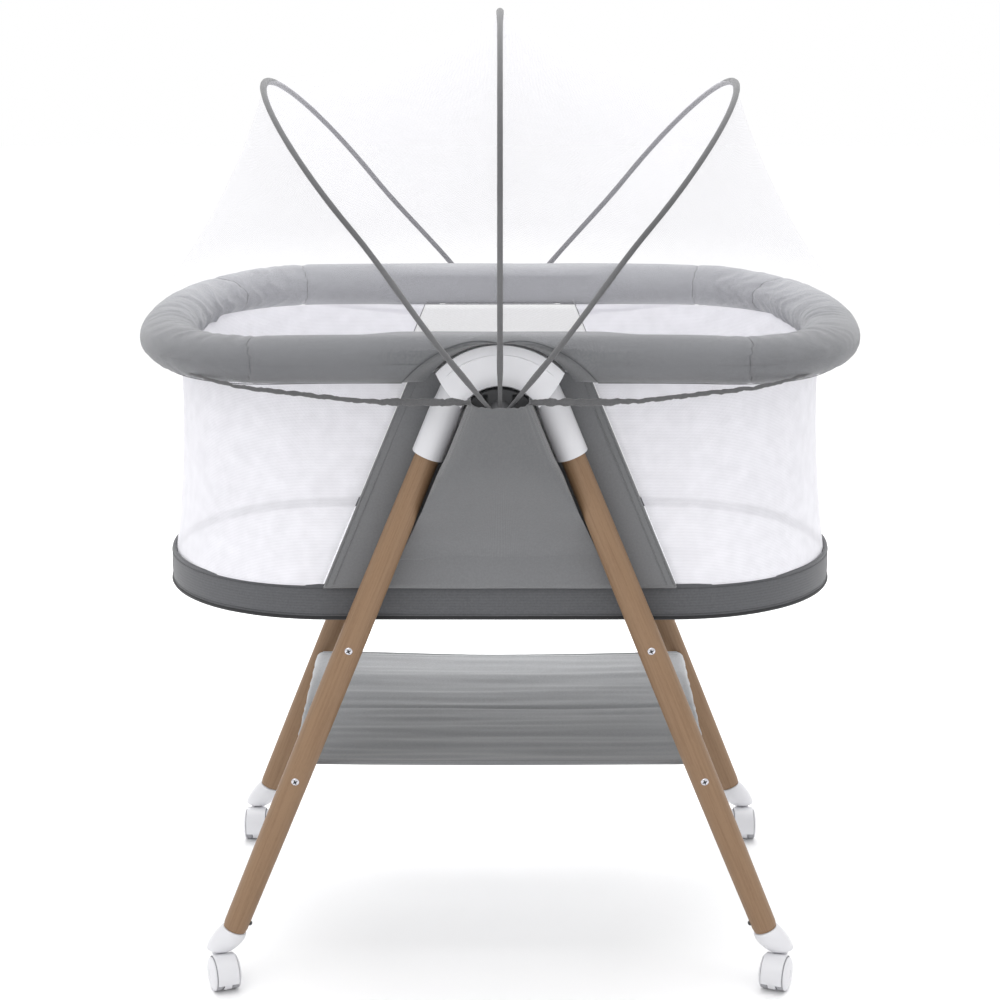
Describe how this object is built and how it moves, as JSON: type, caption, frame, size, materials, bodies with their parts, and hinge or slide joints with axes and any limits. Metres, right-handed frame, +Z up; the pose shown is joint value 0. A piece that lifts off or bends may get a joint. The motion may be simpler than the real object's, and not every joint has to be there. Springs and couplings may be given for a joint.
{
  "type": "bassinet on stand",
  "caption": "Oval bassinet with padded rail, mesh walls and a hooped net canopy, on splayed wooden legs with a storage shelf and swivel casters.",
  "frame": {"origin": "on the floor under the middle of the cot", "axes": "+Z up; +X along the cot's length; -Y is the front, the side with the brake casters"},
  "size_m": [0.84, 0.6082, 1.1013],
  "materials": {
    "beech": "satin lacquer",
    "white_plastic": "satin",
    "dark_plastic": "satin",
    "steel": "satin",
    "chrome": "polished",
    "rail_cloth": "matte",
    "panel_cloth": "matte",
    "band_cloth": "matte",
    "shelf_cloth": "matte",
    "white_cloth": "matte",
    "mesh_cloth": "open mesh",
    "net_cloth": "fine open net",
    "hoop_cloth": "matte",
    "board": "raw fibre board"
  },
  "bodies": {
    "stand": {"base_band": "band_cloth", "base_board": "board", "caster_socket_front_left": "white_plastic", "caster_socket_front_right": "white_plastic", "caster_socket_rear_left": "white_plastic", "caster_socket_rear_right": "white_plastic", "hub_arch_front": "white_plastic", "hub_arch_rear": "white_plastic", "leg_front_left": "beech", "leg_front_right": "beech", "leg_rear_left": "beech", "leg_rear_right": "beech", "leg_screw_lower_front_left": "chrome", "leg_screw_lower_front_right": "chrome", "leg_screw_lower_rear_left": "chrome", "leg_screw_lower_rear_right": "chrome", "leg_screw_upper_front_left": "chrome", "leg_screw_upper_front_right": "chrome", "leg_screw_upper_rear_left": "chrome", "leg_screw_upper_rear_right": "chrome", "mattress": "white_cloth", "mesh_wall_left": "mesh_cloth", "mesh_wall_right": "mesh_cloth", "net_left_end": "net_cloth", "pivot_bracket_front": "dark_plastic", "pivot_bracket_rear": "dark_plastic", "rail_pad": "rail_cloth", "rail_tube_left": "steel", "rail_tube_right": "steel", "side_panel_front": "panel_cloth", "side_panel_rear": "panel_cloth", "storage_shelf": "shelf_cloth", "stretcher_lower_left": "steel", "stretcher_lower_right": "steel", "stretcher_upper_left": "steel", "stretcher_upper_right": "steel"},
    "caster_front_left": {"caster_hood_front_left": "white_plastic", "caster_axle_front_left": "steel"},
    "wheel_front_left_a": {"wheel_front_left_a": "white_plastic"},
    "wheel_front_left_b": {"wheel_front_left_b": "white_plastic"},
    "brake_lever_left": {"brake_lever_left": "dark_plastic"},
    "caster_rear_left": {"caster_hood_rear_left": "white_plastic", "caster_axle_rear_left": "steel"},
    "wheel_rear_left_a": {"wheel_rear_left_a": "white_plastic"},
    "wheel_rear_left_b": {"wheel_rear_left_b": "white_plastic"},
    "caster_front_right": {"caster_hood_front_right": "white_plastic", "caster_axle_front_right": "steel"},
    "wheel_front_right_a": {"wheel_front_right_a": "white_plastic"},
    "wheel_front_right_b": {"wheel_front_right_b": "white_plastic"},
    "brake_lever_right": {"brake_lever_right": "dark_plastic"},
    "caster_rear_right": {"caster_hood_rear_right": "white_plastic", "caster_axle_rear_right": "steel"},
    "wheel_rear_right_a": {"wheel_rear_right_a": "white_plastic"},
    "wheel_rear_right_b": {"wheel_rear_right_b": "white_plastic"},
    "hoop_left": {"hoop_left": "hoop_cloth", "net_left_middle": "net_cloth"},
    "hoop_centre": {"hoop_centre": "hoop_cloth", "net_right_middle": "net_cloth"},
    "hoop_right": {"hoop_right": "hoop_cloth", "net_right_end": "net_cloth"}
  },
  "joints": [
    {"name": "caster_front_left_swivel", "type": "hinge", "parent": "stand", "child": "caster_front_left", "pos_m": [-0.326, -0.228, 0.045], "axis": [0, 0, 1], "continuous": true},
    {"name": "wheel_front_left_a_spin", "type": "hinge", "parent": "caster_front_left", "child": "wheel_front_left_a", "pos_m": [-0.31926, -0.24469, 0.02], "axis": [0.9272, 0.3746, 0], "continuous": true},
    {"name": "wheel_front_left_b_spin", "type": "hinge", "parent": "caster_front_left", "child": "wheel_front_left_b", "pos_m": [-0.31926, -0.24469, 0.02], "axis": [0.9272, 0.3746, 0], "continuous": true},
    {"name": "brake_left", "type": "hinge", "parent": "caster_front_left", "child": "brake_lever_left", "pos_m": [-0.32956, -0.21919, 0.031], "axis": [-0.9272, -0.3746, 0], "range_deg": [0, 20]},
    {"name": "caster_rear_left_swivel", "type": "hinge", "parent": "stand", "child": "caster_rear_left", "pos_m": [-0.326, 0.228, 0.045], "axis": [0, 0, 1], "continuous": true},
    {"name": "wheel_rear_left_a_spin", "type": "hinge", "parent": "caster_rear_left", "child": "wheel_rear_left_a", "pos_m": [-0.326, 0.21, 0.02], "axis": [1, 0, 0], "continuous": true},
    {"name": "wheel_rear_left_b_spin", "type": "hinge", "parent": "caster_rear_left", "child": "wheel_rear_left_b", "pos_m": [-0.326, 0.21, 0.02], "axis": [1, 0, 0], "continuous": true},
    {"name": "caster_front_right_swivel", "type": "hinge", "parent": "stand", "child": "caster_front_right", "pos_m": [0.326, -0.228, 0.045], "axis": [0, 0, 1], "continuous": true},
    {"name": "wheel_front_right_a_spin", "type": "hinge", "parent": "caster_front_right", "child": "wheel_front_right_a", "pos_m": [0.31926, -0.24469, 0.02], "axis": [0.9272, -0.3746, 0], "continuous": true},
    {"name": "wheel_front_right_b_spin", "type": "hinge", "parent": "caster_front_right", "child": "wheel_front_right_b", "pos_m": [0.31926, -0.24469, 0.02], "axis": [0.9272, -0.3746, 0], "continuous": true},
    {"name": "brake_right", "type": "hinge", "parent": "caster_front_right", "child": "brake_lever_right", "pos_m": [0.32956, -0.21919, 0.031], "axis": [-0.9272, 0.3746, 0], "range_deg": [0, 20]},
    {"name": "caster_rear_right_swivel", "type": "hinge", "parent": "stand", "child": "caster_rear_right", "pos_m": [0.326, 0.228, 0.045], "axis": [0, 0, 1], "continuous": true},
    {"name": "wheel_rear_right_a_spin", "type": "hinge", "parent": "caster_rear_right", "child": "wheel_rear_right_a", "pos_m": [0.326, 0.21, 0.02], "axis": [1, 0, 0], "continuous": true},
    {"name": "wheel_rear_right_b_spin", "type": "hinge", "parent": "caster_rear_right", "child": "wheel_rear_right_b", "pos_m": [0.326, 0.21, 0.02], "axis": [1, 0, 0], "continuous": true},
    {"name": "canopy_fold", "type": "hinge", "parent": "hoop_left", "child": "hoop_centre", "pos_m": [0, 0, 0.685], "axis": [0, -1, 0], "range_deg": [0, 33], "deforming": ["net_left_middle"]},
    {"name": "canopy_follow_left", "type": "hinge", "parent": "stand", "child": "hoop_left", "pos_m": [0, 0, 0.685], "axis": [0, -1, 0], "range_deg": [0, 6], "deforming": ["net_left_end"]},
    {"name": "canopy_follow_right", "type": "hinge", "parent": "hoop_centre", "child": "hoop_right", "pos_m": [0, 0, 0.685], "axis": [0, -1, 0], "range_deg": [0, 33], "deforming": ["net_right_middle", "net_right_end"]}
  ],
  "couplings": [
    {"joint": "canopy_follow_left", "follows": "canopy_fold", "ratio": 0.1818},
    {"joint": "canopy_follow_right", "follows": "canopy_fold", "ratio": 1}
  ]
}
